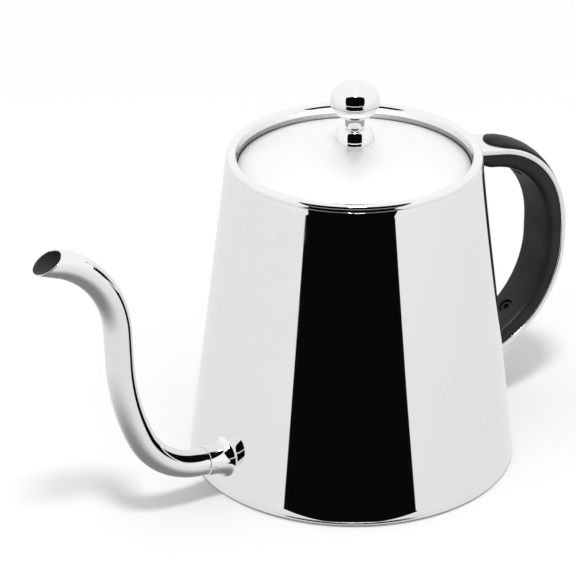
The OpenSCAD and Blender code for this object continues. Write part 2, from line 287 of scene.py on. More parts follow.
class Signal:
    """A shader's value that takes part in Python sums."""

    def __init__(self, graph: Graph, socket: bpy.types.NodeSocket) -> None:
        """Wraps an output socket of a graph."""
        self.graph = graph
        self.socket = socket

    def __add__(self, other: Signal | float) -> Signal:
        """Adds."""
        return self.graph.maths("ADD", self, other)

    def __sub__(self, other: Signal | float) -> Signal:
        """Takes away."""
        return self.graph.maths("SUBTRACT", self, other)

    def __rsub__(self, other: float) -> Signal:
        """Is taken away."""
        return self.graph.maths("SUBTRACT", other, self)

    def __mul__(self, other: Signal | float) -> Signal:
        """Multiplies."""
        return self.graph.maths("MULTIPLY", self, other)

    def __pow__(self, other: float) -> Signal:
        """Raises to a power."""
        return self.graph.maths("POWER", self, other)

    __radd__ = __add__
    __rmul__ = __mul__

    def between(self, low: float, high: float) -> Signal:
        """Rises smoothly from 0 at a low value to 1 at a high one."""
        settings = {"interpolation_type": "SMOOTHSTEP"}
        return self.graph.node("ShaderNodeMapRange", settings, {0: self, 1: low, 2: high})


class Graph:
    """The nodes of one material or world."""

    def __init__(self, tree: bpy.types.NodeTree) -> None:
        """Starts with an empty tree."""
        self.tree = tree
        self.tree.nodes.clear()

    def node(
        self,
        kind: str,
        settings: dict[str, object] | None = None,
        inputs: dict[str | int, object] | None = None,
        output: str | int = 0,
    ) -> Signal:
        """Adds a node.

        Args:
            kind: The node's type.
            settings: Its settings, which are set first.
            inputs: The values or signals of its sockets.
            output: The output that is returned.

        Returns:
            The signal of that output.
        """
        made = self.tree.nodes.new(kind)
        for key, value in (settings or {}).items():
            setattr(made, key, value)
        for key, value in (inputs or {}).items():
            if isinstance(value, Signal):
                self.tree.links.new(value.socket, made.inputs[key])
            else:
                made.inputs[key].default_value = value
        return Signal(self, made.outputs[output] if made.outputs else None)

    def maths(self, operation: str, *values: Signal | float) -> Signal:
        """Adds a Math node for an operation on values."""
        return self.node("ShaderNodeMath", {"operation": operation}, dict(enumerate(values)))

    def place(self) -> Signal:
        """The point on the piece, in its own frame."""
        return self.node("ShaderNodeTexCoord", output="Object")

    def stretched(self, place: Signal, scale: Colour) -> Signal:
        """A place scaled by different amounts along the three axes."""
        return self.node(
            "ShaderNodeVectorMath", {"operation": "MULTIPLY"}, {0: place, 1: scale}
        )

    def noise(self, place: Signal, scale: float, detail: float = 2.0) -> Signal:
        """Smooth noise at a place."""
        inputs = {"Vector": place, "Scale": scale, "Detail": detail}
        return self.node("ShaderNodeTexNoise", inputs=inputs)

    def mixed(self, share: Signal, first: Colour, second: Colour) -> Signal:
        """A colour between two colours."""
        inputs = {0: share, 6: (*first, 1.0), 7: (*second, 1.0)}
        return self.node("ShaderNodeMix", {"data_type": "RGBA"}, inputs, output=2)

    def relief(self, height: Signal, depth: float) -> Signal:
        """A bumped normal, for a height from 0 to 1 and a depth in metres."""
        inputs = {"Height": height, "Distance": depth, "Strength": 1.0}
        return self.node("ShaderNodeBump", inputs=inputs, output="Normal")


# ---- Finishes ----


class Grain(Enum):
    """The way that the fine lines of a steel face run."""

    ROUND_THE_BODY = "round the body"
    RINGS = "rings about the axis"


@dataclass(frozen=True)
class Steel:
    """Stainless steel with fine lines, smears and a little unevenness.

    Attributes:
        name: Name of the material.
        tint: Colour of the clean metal.
        dulled: Colour where it is smeared.
        gloss: Roughness of the clean metal.
        smeared: Roughness that smears add.
        lined: Roughness that the fine lines add.
        grain: The way that the lines run.
        pitch: Number of lines in a metre.
        waviness: Depth of the slow unevenness.
        line_depth: Depth of the lines.
    """

    name: str
    tint: Colour
    dulled: Colour
    gloss: float
    smeared: float
    lined: float
    grain: Grain
    pitch: float
    waviness: float
    line_depth: float

    def lines(self, graph: Graph, place: Signal) -> Signal:
        """The fine lines, from 0 to 1."""
        if self.grain is Grain.ROUND_THE_BODY:
            return graph.noise(graph.stretched(place, (14.0, 14.0, self.pitch)), 1.0, 3.0)
        flat = graph.stretched(place, (1.0, 1.0, 0.0))
        radius = graph.node(
            "ShaderNodeVectorMath", {"operation": "LENGTH"}, {0: flat}, output="Value"
        )
        spot = graph.node("ShaderNodeCombineXYZ", inputs={0: radius * self.pitch})
        drift = graph.stretched(place, (9.0, 9.0, 9.0))
        moved = graph.node("ShaderNodeVectorMath", {"operation": "ADD"}, {0: spot, 1: drift})
        return graph.noise(moved, 1.0, 3.0)

    def material(self) -> bpy.types.Material:
        """Makes the material."""
        material = bpy.data.materials.new(self.name)
        material.use_nodes = True
        graph = Graph(material.node_tree)
        place = graph.place()
        lines = self.lines(graph, place)
        smears = (graph.noise(place, 34.0, 4.0).between(0.48, 0.78)) * (
            graph.noise(place, 260.0, 3.0).between(0.25, 0.75)
        )
        specks = graph.noise(place, 1300.0, 2.0).between(0.72, 0.82)
        unevenness = graph.noise(place, 55.0, 1.0)
        roughness = self.gloss + smears * self.smeared + lines * self.lined + specks * 0.05
        height = unevenness + lines * (self.line_depth / self.waviness)
        surface = graph.node(
            "ShaderNodeBsdfPrincipled",
            inputs={
                "Base Color": graph.mixed(smears, self.tint, self.dulled),
                "Metallic": 1.0,
                "Roughness": roughness,
                "Normal": graph.relief(height, self.waviness),
            },
        )
        graph.node("ShaderNodeOutputMaterial", inputs={"Surface": surface})
        return material


@dataclass(frozen=True)
class Moulded:
    """Black moulded resin: satin, with a fine moulding texture and rubbed patches.

    Attributes:
        name: Name of the material.
        deep: Colour of the untouched resin.
        rubbed: Colour where hands have rubbed it.
        satin: Roughness of the untouched resin.
        polish: Roughness that rubbing takes away.
        texture: Depth of the moulding texture.
    """

    name: str
    deep: Colour
    rubbed: Colour
    satin: float
    polish: float
    texture: float

    def material(self) -> bpy.types.Material:
        """Makes the material."""
        material = bpy.data.materials.new(self.name)
        material.use_nodes = True
        graph = Graph(material.node_tree)
        place = graph.place()
        patches = graph.noise(place, 60.0, 4.0).between(0.4, 0.7)
        pebbles = graph.noise(place, 2600.0, 2.0)
        scuffs = graph.noise(graph.stretched(place, (900.0, 120.0, 900.0)), 1.0, 2.0)
        scuffs = scuffs.between(0.68, 0.8)
        swell = graph.noise(place, 240.0, 2.0)
        surface = graph.node(
            "ShaderNodeBsdfPrincipled",
            inputs={
                "Base Color": graph.mixed(patches * 0.6 + scuffs * 0.4, self.deep, self.rubbed),
                "Roughness": self.satin - patches * self.polish + scuffs * 0.12,
                "Normal": graph.relief(pebbles * 0.5 + swell * 0.5, self.texture),
                "Specular IOR Level": 0.2,
            },
        )
        graph.node("ShaderNodeOutputMaterial", inputs={"Surface": surface})
        return material


MIRROR = Steel(
    name="mirror_polished_steel",
    tint=(0.84, 0.845, 0.85),
    dulled=(0.8, 0.805, 0.81),
    gloss=0.012,
    smeared=0.05,
    lined=0.02,
    grain=Grain.ROUND_THE_BODY,
    pitch=2600.0,
    waviness=0.004 * MM,
    line_depth=0.00004 * MM,
)
TURNED = Steel(
    name="turned_base_steel",
    tint=(0.66, 0.665, 0.67),
    dulled=(0.5, 0.5, 0.505),
    gloss=0.2,
    smeared=0.14,
    lined=0.2,
    grain=Grain.RINGS,
    pitch=2200.0,
    waviness=0.02 * MM,
    line_depth=0.012 * MM,
)
INSIDE = Steel(
    name="satin_inside_steel",
    tint=(0.74, 0.745, 0.75),
    dulled=(0.64, 0.645, 0.65),
    gloss=0.16,
    smeared=0.1,
    lined=0.16,
    grain=Grain.ROUND_THE_BODY,
    pitch=1800.0,
    waviness=0.02 * MM,
    line_depth=0.006 * MM,
)
STRIP = Steel(
    name="polished_strip_steel",
    tint=(0.82, 0.825, 0.83),
    dulled=(0.74, 0.745, 0.75),
    gloss=0.09,
    smeared=0.1,
    lined=0.07,
    grain=Grain.ROUND_THE_BODY,
    pitch=2400.0,
    waviness=0.014 * MM,
    line_depth=0.001 * MM,
)
SCREW = Steel(
    name="plain_screw_steel",
    tint=(0.62, 0.62, 0.63),
    dulled=(0.45, 0.45, 0.46),
    gloss=0.22,
    smeared=0.12,
    lined=0.12,
    grain=Grain.RINGS,
    pitch=5200.0,
    waviness=0.01 * MM,
    line_depth=0.006 * MM,
)
BLACKENED = Steel(
    name="blackened_screw_steel",
    tint=(0.035, 0.035, 0.037),
    dulled=(0.07, 0.07, 0.07),
    gloss=0.36,
    smeared=0.12,
    lined=0.1,
    grain=Grain.RINGS,
    pitch=5200.0,
    waviness=0.01 * MM,
    line_depth=0.004 * MM,
)
# Painted shade: a dark steel for the rim's inner wall below the lid's edge. It stands in for the shade
# in the gap round the lid.
RECESS_SHADE = Steel(
    name="painted_recess_shade_steel",
    tint=(0.36, 0.36, 0.365),
    dulled=(0.26, 0.26, 0.26),
    gloss=0.3,
    smeared=0.12,
    lined=0.12,
    grain=Grain.RINGS,
    pitch=2400.0,
    waviness=0.01 * MM,
    line_depth=0.002 * MM,
)
# Not a real finish: painted shade for the tube's inside, standing in for the shade that a tube hidden
# from mirrored rays lacks.
BORE_SHADE = Steel(
    name="painted_bore_shade_steel",
    tint=(0.05, 0.05, 0.052),
    dulled=(0.03, 0.03, 0.03),
    gloss=0.55,
    smeared=0.12,
    lined=0.1,
    grain=Grain.RINGS,
    pitch=1500.0,
    waviness=0.02 * MM,
    line_depth=0.004 * MM,
)
SATIN = Steel(
    name="satin_lid_steel",
    tint=(0.86, 0.865, 0.865),
    dulled=(0.8, 0.805, 0.805),
    gloss=0.5,
    smeared=0.08,
    lined=0.08,
    grain=Grain.RINGS,
    pitch=2600.0,
    waviness=0.006 * MM,
    line_depth=0.001 * MM,
)
RESIN = Moulded(
    name="black_resin",
    deep=(0.01, 0.01, 0.0105),
    rubbed=(0.017, 0.017, 0.0175),
    satin=0.5,
    polish=0.08,
    texture=0.03 * MM,
)

_made: dict[str, bpy.types.Material] = {}


def dressed(piece: bpy.types.Object, finish: Steel | Moulded) -> int:
    """Adds a finish to a piece.

    Args:
        piece: The piece.
        finish: Its finish.

    Returns:
        The finish's place among the piece's materials.
    """
    if finish.name not in _made:
        _made[finish.name] = finish.material()
    piece.data.materials.append(_made[finish.name])
    return len(piece.data.materials) - 1


def dressed_where(
    piece: bpy.types.Object, finish: Steel, chosen: Callable[[Vector, Vector], bool]
) -> None:
    """Gives a second finish to some faces of a piece.

    Args:
        piece: The piece, which has its first finish.
        finish: The second finish.
        chosen: Says from a face's centre and normal whether it gets the finish.
    """
    place = dressed(piece, finish)
    for face in piece.data.polygons:
        if chosen(face.center, face.normal):
            face.material_index = place


def faces_axis(centre: Vector, normal: Vector) -> bool:
    """Whether a face looks towards the kettle's axis."""
    return centre.x * normal.x + centre.y * normal.y < -0.3 * math.hypot(centre.x, centre.y)


def faces_line(line: Sequence[Vector], centre: Vector, normal: Vector) -> bool:
    """Whether a face looks towards a line.

    Args:
        line: Places along the line.
        centre: The face's centre.
        normal: The way that the face looks.

    Returns:
        True for the inner faces of a tube that is built round the line.
    """
    nearest = min(line, key=lambda place: (place - centre).length_squared)
    return (centre - nearest).dot(normal) < 0


def fitted(piece: bpy.types.Object, rider: Rider, slot: Slot, *nodes: str) -> None:
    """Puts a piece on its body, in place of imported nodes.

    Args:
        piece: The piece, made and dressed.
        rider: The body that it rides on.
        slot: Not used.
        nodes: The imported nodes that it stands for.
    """
    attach(piece, rider.value)
    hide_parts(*nodes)
    log.info("%s: %d faces, for %s", piece.name, len(piece.data.polygons), ", ".join(nodes))


# ---- The wall's cone ----


@dataclass(frozen=True)
class Cone:
    """The cone that the wall is rolled to.

    Attributes:
        foot_r: Radius at the surface that the kettle stands on.
        narrowing: Loss of radius for each metre of height.
    """

    foot_r: float
    narrowing: float

    @classmethod
    def from_frame(cls) -> Cone:
        """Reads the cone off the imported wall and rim."""
        wall_low, wall_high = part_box("body_shell")
        ring_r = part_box("rim_ring")[1].x
        narrowing = (wall_high.x - ring_r) / (wall_high.z - wall_low.z)
        return cls(wall_high.x + narrowing * wall_low.z, narrowing)

    @property
    def lean(self) -> float:
        """Angle between the wall and the axis."""
        return math.atan(self.narrowing)

    def radius(self, z: float, out: float = 0.0) -> float:
        """Radius at a height of the cone that lies a distance outside the wall."""
        return self.foot_r - self.narrowing * z + out / math.cos(self.lean)

    def landing(self, start: Vector, axis: Vector, out: float) -> Vector:
        """Finds where a line meets the cone.

        Args:
            start: A point on the line.
            axis: The line's direction.
            out: How far outside the wall the cone lies.

        Returns:
            The meeting point that is nearest to the start.
        """
        here = self.radius(start.z, out)
        k = self.narrowing * axis.z
        a = axis.x**2 + axis.y**2 - k**2
        b = start.x * axis.x + start.y * axis.y + here * k
        c = start.x**2 + start.y**2 - here**2
        root = math.sqrt(b * b - a * c)
        return start + axis * min(((-b + root) / a, (-b - root) / a), key=abs)


# ---- Body ----


@dataclass(frozen=True)
class Body:
    """The wall, the base and the rim."""

    cone: Cone
    sheet: float = 0.8 * MM
    base_t: float = 1.2 * MM
    edge_round: float = 1.24 * MM
    groove_inset: float = 7 * MM
    groove_w: float = 3 * MM
    groove_d: float = 0.5 * MM
    seam_round: float = 0.14 * MM
    rim_round: float = 1.5 * MM
    recess_r: float = 43.6 * MM
    ledge_w: float = 3 * MM
    lip_h: float = 4 * MM
    recess_shade_h: float = 3.4 * MM

    def wall(self, hole: bpy.types.Object) -> bpy.types.Object:
        """Makes the wall, with a hole cut for the spout."""
        low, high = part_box("body_shell")
        bottom, top = low.z, high.z
        around = outline(
            [
                Corner(self.cone.radius(bottom), bottom, self.seam_round),
                Corner(self.cone.radius(top), top, self.seam_round),
                Corner(self.cone.radius(top, -self.sheet), top, self.seam_round),
                Corner(self.cone.radius(bottom, -self.sheet), bottom, self.seam_round),
            ]
        )
        piece = lathe("polished_wall", divided(around, 2.5 * MM))
        cut(piece, hole)
        return piece

    def base(self) -> bpy.types.Object:
        """Makes the base, a shallow dish with a pressed groove underneath."""
        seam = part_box("base_pan")[1].z
        groove_out = self.cone.foot_r - self.groove_inset
        groove_in = groove_out - self.groove_w
        around = outline(
            [
                Corner(0, 0),
                Corner(groove_in, 0, 0.3 * MM),
                Corner(groove_in, self.groove_d, 0.2 * MM),
                Corner(groove_out, self.groove_d, 0.2 * MM),
                Corner(groove_out, 0, 0.3 * MM),
                Corner(self.cone.radius(0), 0, self.edge_round),
                Corner(self.cone.radius(seam), seam, self.seam_round),
                Corner(self.cone.radius(seam, -self.sheet), seam, self.seam_round),
                Corner(self.cone.radius(self.base_t, -self.sheet), self.base_t, 0.5 * MM),
                Corner(0, self.base_t),
            ]
        )
        return lathe("base_dish", divided(around, 4 * MM))

    def rim(self) -> bpy.types.Object:
        """Makes the rim: a strip folded over the top, down to a ledge and into a lip."""
        low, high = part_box("rim_ring")
        seam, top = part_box("body_shell")[1].z, high.z
        ledge = low.z + self.lip_h
        lip_r = self.recess_r - self.ledge_w
        inner_round = self.rim_round - self.sheet
        around = outline(
            [
                Corner(self.cone.radius(seam), seam, self.seam_round),
                Corner(self.cone.radius(top), top, self.rim_round),
                Corner(self.recess_r, top, self.rim_round),
                Corner(self.recess_r, ledge, 0.3 * MM),
                Corner(lip_r, ledge, 0.8 * MM),
                Corner(lip_r, low.z, 0.25 * MM),
                Corner(lip_r + self.sheet, low.z, 0.25 * MM),
                Corner(lip_r + self.sheet, ledge - self.sheet, 0.2 * MM),
                Corner(self.recess_r + self.sheet, ledge - self.sheet, 0.5 * MM),
                Corner(self.recess_r + self.sheet, top - self.sheet, inner_round),
                Corner(self.cone.radius(top, -self.sheet), top - self.sheet, inner_round),
                Corner(self.cone.radius(seam, -self.sheet), seam, self.seam_round),
            ]
        )
        return lathe("rolled_rim", divided(around, 2.5 * MM))

    def build(self, hole: bpy.types.Object) -> None:
        """Makes, dresses and fits the pieces.

        Args:
            hole: A rod that cuts the hole for the spout.
        """
        wall = self.wall(hole)
        dressed(wall, MIRROR)
        dressed_where(wall, INSIDE, faces_axis)
        fitted(wall, Rider.KETTLE, Slot.POLISHED, "body_shell")
        base = self.base()
        dressed(base, TURNED)
        dressed_where(base, MIRROR, lambda centre, normal: math.hypot(normal.x, normal.y) > 0.6)
        dressed_where(base, INSIDE, lambda centre, normal: normal.z > 0.6)
        fitted(base, Rider.KETTLE, Slot.BASE, "base_pan")
        rim = self.rim()
        dressed(rim, MIRROR)
        # Painted shade: the rim's faces towards the axis below this height get the dark recess steel.
        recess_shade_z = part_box("lid_cap")[0].z + self.recess_shade_h
        dressed_where(
            rim, RECESS_SHADE, lambda centre, normal: faces_axis(centre, normal) and centre.z < recess_shade_z
        )
        fitted(rim, Rider.KETTLE, Slot.POLISHED, "rim_ring")


# ---- Spout ----


@dataclass(frozen=True)
class Station:
    """A point of the spout's centre line.

    Attributes:
        out: Distance from the kettle's axis.
        z: Height.
        slope: Slope of the line there, in radians.
    """

    out: float
    z: float
    slope: float

    @property
    def place(self) -> Vector:
        """The station in the kettle's frame."""
        return Vector((-self.out, 0, self.z))

    @property
    def axis(self) -> Vector:
        """The line's direction, away from the body."""
        return Vector((-math.cos(self.slope), 0, math.sin(self.slope)))

    def spoke(self, angle: float) -> Vector:
        """A unit vector square to the line, at an angle from its upper side."""
        upper = Vector((math.sin(self.slope), 0, math.cos(self.slope)))
        return upper * math.cos(angle) + Vector((0, 1, 0)) * math.sin(angle)

    def ahead(self, length: float) -> Station:
        """The station a straight length further on."""
        place = self.place + self.axis * length
        return Station(-place.x, place.z, self.slope)

    def bent(self, radius: float, slope: float, steps: int) -> list[Station]:
        """Follows a bend; a negative radius bends downwards.

        Args:
            radius: Radius of the bend.
            slope: Slope at its end.
            steps: Number of stations along it.

        Returns:
            The stations of the bend.
        """
        made = []
        for i in range(1, steps + 1):
            turned = self.slope + (slope - self.slope) * i / steps
            out = self.out + radius * (math.sin(turned) - math.sin(self.slope))
            z = self.z - radius * (math.cos(turned) - math.cos(self.slope))
            made.append(Station(out, z, turned))
        return made


@dataclass(frozen=True)
class Spout:
    """The swan-neck tube and the flared collar at its root."""

    cone: Cone
    sheet: float
    radius: float = 5.2 * MM
    wall: float = 0.8 * MM
    braze_gap: float = 0.05 * MM
    root_z: float = 15 * MM
    leg: float = 10.5 * MM
    first_bend_r: float = 33 * MM
    first_slope: float = math.radians(64.8)
    riser_slope: float = math.radians(87.8)
    riser: float = 12 * MM
    top_bend_r: float = 39 * MM
    mouth_slope: float = math.radians(22.8)
    mouth_leg: float = 4.8 * MM
    mouth_drop: float = 6.5 * MM
    mouth_facing: float = math.radians(60)
    collar_r: float = 7.8 * MM
    collar_l: float = 9 * MM
    collar_t: float = 0.4 * MM
    bend_steps: int = 40
    sides: int = 96

    @property
    def root(self) -> Station:
        """Where the centre line leaves the wall."""
        return Station(self.cone.radius(self.root_z), self.root_z, self.cone.lean)

    def line(self) -> list[Station]:
        """Follows the centre line.

        Returns:
            The stations from the wall to the middle of the mouth. The second bend is as large as
            it takes to bring the mouth to its height.
        """
        start = self.root.ahead(self.leg)
        first = start.bent(self.first_bend_r, self.first_slope, self.bend_steps)
        top_rise = self.top_bend_r * (math.cos(self.mouth_slope) - math.cos(self.riser_slope))
        rise = (
            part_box("rim_ring")[1].z
            - self.mouth_drop
            - first[-1].z
            - self.riser * math.sin(self.riser_slope)
            - top_rise
            - self.mouth_leg * math.sin(self.mouth_slope)
        )
        sweep_r = rise / (math.cos(self.first_slope) - math.cos(self.riser_slope))
        sweep = first[-1].bent(sweep_r, self.riser_slope, self.bend_steps)
        riser_end = sweep[-1].ahead(self.riser)
        top = riser_end.bent(-self.top_bend_r, self.mouth_slope, self.bend_steps)
        return [start, *first, *sweep, riser_end, *top, top[-1].ahead(self.mouth_leg)]

    def spokes(self, station: Station, radius: float) -> list[Vector]:
        """The ring of points at a radius round a station."""
        angles = [math.tau * i / self.sides for i in range(self.sides)]
        return [station.place + station.spoke(angle) * radius for angle in angles]

    def mouth_ring(self, mouth: Station, radius: float, back: float) -> list[Vector]:
        """Makes a ring at the slanted mouth.

        Args:
            mouth: Station at the middle of the mouth.
            radius: Distance from the centre line.
            back: Distance short of the mouth's plane, along the tube.

        Returns:
            The ring's points.
        """
        facing = Vector((-math.cos(self.mouth_facing), 0, math.sin(self.mouth_facing)))
        ring = []
        for point in self.spokes(mouth, radius):
            run = (mouth.place - point).dot(facing) / mouth.axis.dot(facing)
            ring.append(point + mouth.axis * (run - back))
        return ring

    def tube(self) -> bpy.types.Object:
        """Makes the tube, flush with the inside of the wall and open at both ends."""
        line = self.line()
        mouth = line[-1]
        half_wall = self.wall / 2
        middle_r = self.radius - half_wall
        lip = []
        for i in range(9):
            angle = math.pi * i / 8
            back = half_wall * (1 - math.sin(angle))
            lip.append(self.mouth_ring(mouth, middle_r + half_wall * math.cos(angle), back))
        outside = [self.spokes(station, self.radius) for station in line[:-1]]
        inside = [self.spokes(station, self.radius - self.wall) for station in line[-2::-1]]
        roots = [
            [self.cone.landing(p, self.root.axis, -self.sheet) for p in self.spokes(self.root, r)]
            for r in (self.radius, self.radius - self.wall)
        ]
        rings = [roots[0], *outside, *lip, *inside, roots[1]]
        return skin("swan_neck", rings, Ends.JOINED)

    def collar(self) -> bpy.types.Object:
        """Makes the collar, which flares on to the wall."""
        bore = self.radius + self.braze_gap
        thin = bore + self.collar_t
        steps = 20
        profile = [(bore, 0.0), (self.collar_r, 0.0)]
        for i in range(1, steps + 1):
            angle = math.pi / 2 * i / steps
            spread = thin + (self.collar_r - thin) * (1 - math.sin(angle))
            profile.append((spread, self.collar_l * (1 - math.cos(angle))))
        profile.append((bore, self.collar_l))
        rings = []
        for radius, along in profile:
            ring = []
            for point in self.spokes(self.root, radius):
                foot = self.cone.landing(point, self.root.axis, -SINK)
                ring.append(foot.lerp(point, along / self.collar_l) + self.root.axis * along)
            rings.append(ring)
        return skin("flared_collar", rings, Ends.JOINED)

    def hole(self) -> bpy.types.Object:
        """Makes the rod that cuts the spout's hole in the wall."""
        start = self.root.place - self.root.axis * self.collar_l
        return rod(start, self.root.axis, 2 * self.collar_l, self.radius + self.braze_gap, 96)

    def build(self) -> None:
        """Makes, dresses and fits the pieces."""
        tube = self.tube()
        # Not physical: a real tube would show in the wall as a dark curve.
        tube.visible_glossy = False
        line = [station.place for station in self.line()]
        dressed(tube, MIRROR)
        # Painted shade: the tube's inner faces get the near-black bore steel.
        dressed_where(tube, BORE_SHADE, lambda centre, normal: faces_line(line, centre, normal))
        fitted(tube, Rider.KETTLE, Slot.POLISHED, "spout_tube")
        collar = self.collar()
        dressed(collar, MIRROR)
        fitted(collar, Rider.KETTLE, Slot.POLISHED, "spout_collar")


# ---- Handle ----


@dataclass(frozen=True)
class StrapLine:
    """The strap's middle line: a leg from the wall, a bend, a straight, a bend and a leg back.

    Attributes:
        start: Where the line leaves the wall at the top.
        low: Where it comes back to the wall.
        reach: Greatest distance of the line from the axis.
        top_slope: Slope of the top leg.
        low_slope: Slope of the bottom leg.
        straight: Length of the straight.
    """

    start: Vector
    low: Vector
    reach: float
    top_slope: float = math.radians(12)
    low_slope: float = math.radians(22.8)
    straight: float = 6.5 * MM

    @property
    def bend_r(self) -> float:
        """Radius of both bends, as large as the joints and the reach allow."""
        drop = self.start.z - self.low.z - self.straight
        drop -= (self.reach - self.start.x) * math.tan(self.top_slope)
        drop -= (self.reach - self.low.x) * math.tan(self.low_slope)
        shares = [(1 - math.sin(a)) / math.cos(a) for a in (self.top_slope, self.low_slope)]
        return drop / sum(shares)

    @property
    def legs(self) -> tuple[float, float]:
        """Lengths of the top and the bottom leg."""
        top = self.reach - self.start.x - self.bend_r * (1 - math.sin(self.top_slope))
        low = self.reach - self.low.x - self.bend_r * (1 - math.sin(self.low_slope))
        return top / math.cos(self.top_slope), low / math.cos(self.low_slope)

    @property
    def bends(self) -> tuple[Vector, Vector]:
        """Centres of the upper and the lower bend."""
        z = self.start.z - self.legs[0] * math.sin(self.top_slope)
        z -= self.bend_r * math.cos(self.top_slope)
        x = self.reach - self.bend_r
        return Vector((x, 0, z)), Vector((x, 0, z - self.straight))

    @property
    def length(self) -> float:
        """Length of the whole line."""
        turns = math.pi - self.top_slope - self.low_slope
        return sum(self.legs) + turns * self.bend_r + self.straight

    def at(self, along: float) -> Matrix:
        """Finds a place along the line.

        Args:
            along: Distance from the top end.

        Returns:
            A frame there: X points along the line, Y across the strap, Z outwards.
        """
        upper, lower = self.bends
        top_angle = math.pi / 2 - self.top_slope
        low_angle = math.pi / 2 - self.low_slope
        left = along - self.legs[0]
        if left < 0:
            return self.framed(upper, top_angle, left)
        if left < top_angle * self.bend_r:
            return self.framed(upper, top_angle - left / self.bend_r, 0)
        left -= top_angle * self.bend_r
        if left < self.straight:
            return self.framed(upper, 0, left)
        left -= self.straight
        if left < low_angle * self.bend_r:
            return self.framed(lower, -left / self.bend_r, 0)
        return self.framed(lower, -low_angle, left - low_angle * self.bend_r)

    def framed(self, centre: Vector, angle: float, past: float) -> Matrix:
        """Makes a frame on a bend or past its end.

        Args:
            centre: Centre of the bend.
            angle: Angle of the outward side above the horizontal.
            past: Distance along the line from there.

        Returns:
            The frame, as for at().
        """
        outward = Vector((math.cos(angle), 0, math.sin(angle)))
        along = Vector((math.sin(angle), 0, -math.cos(angle)))
        place = centre + outward * self.bend_r + along * past
        across = outward.cross(along)
        return Matrix.Translation(place) @ Matrix((along, across, outward)).transposed().to_4x4()


Section = list[Vector]


